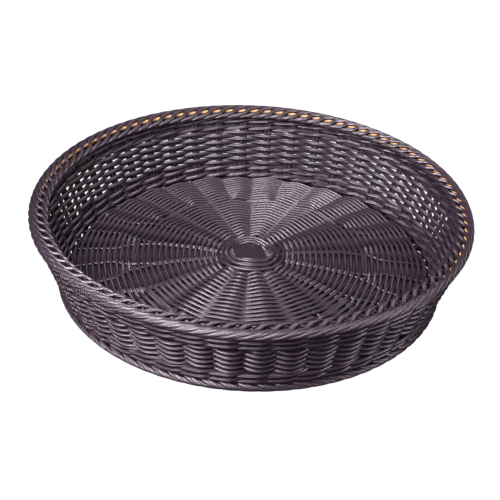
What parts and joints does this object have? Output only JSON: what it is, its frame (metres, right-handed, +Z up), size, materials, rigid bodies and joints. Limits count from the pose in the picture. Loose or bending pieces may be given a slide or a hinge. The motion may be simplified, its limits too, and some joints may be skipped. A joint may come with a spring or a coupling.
{
  "type": "bread basket",
  "caption": "Round shallow basket woven from dark plastic cane, with a flared side, a domed base on a rolled foot and a border rolled round a cane hoop; holds bread.",
  "frame": {"origin": "on the floor, under the middle of the base", "axes": "+Z up; the basket is round, so +X and +Y are any two directions at right angles; +Y runs along the upper bundle of the base cross"},
  "size_m": [0.4, 0.4, 0.079],
  "materials": {
    "plastic_cane": "satin, ribbed along the strand",
    "natural_cane": "satin"
  },
  "bodies": {
    "root": {"foot_border": "plastic_cane", "base_cross_crosswise": "plastic_cane", "base_cross_lengthwise": "plastic_cane", "base_weave": "plastic_cane", "rim_border": "plastic_cane", "side_stake_01": "plastic_cane", "side_stake_02": "plastic_cane", "side_stake_03": "plastic_cane", "side_stake_04": "plastic_cane", "side_stake_05": "plastic_cane", "side_stake_06": "plastic_cane", "side_stake_07": "plastic_cane", "side_stake_08": "plastic_cane", "side_stake_09": "plastic_cane", "side_stake_10": "plastic_cane", "side_stake_11": "plastic_cane", "side_stake_12": "plastic_cane", "side_stake_13": "plastic_cane", "side_stake_14": "plastic_cane", "side_stake_15": "plastic_cane", "side_stake_16": "plastic_cane", "side_stake_17": "plastic_cane", "side_stake_18": "plastic_cane", "side_stake_19": "plastic_cane", "side_stake_20": "plastic_cane", "side_stake_21": "plastic_cane", "side_stake_22": "plastic_cane", "side_stake_23": "plastic_cane", "side_stake_24": "plastic_cane", "side_stake_25": "plastic_cane", "side_stake_26": "plastic_cane", "side_stake_27": "plastic_cane", "side_stake_28": "plastic_cane", "side_stake_29": "plastic_cane", "side_stake_30": "plastic_cane", "side_stake_31": "plastic_cane", "side_stake_32": "plastic_cane", "side_stake_33": "plastic_cane", "side_stake_34": "plastic_cane", "side_stake_35": "plastic_cane", "side_stake_36": "plastic_cane", "side_stake_37": "plastic_cane", "side_stake_38": "plastic_cane", "side_stake_39": "plastic_cane", "side_stake_40": "plastic_cane", "side_stake_41": "plastic_cane", "side_stake_42": "plastic_cane", "side_stake_43": "plastic_cane", "side_stake_44": "plastic_cane", "side_stake_45": "plastic_cane", "side_stake_46": "plastic_cane", "bottom_wale": "plastic_cane", "side_weaver_a": "plastic_cane", "side_weaver_b": "plastic_cane", "top_wale": "plastic_cane", "rim_core_hoop": "natural_cane"}
  },
  "joints": []
}
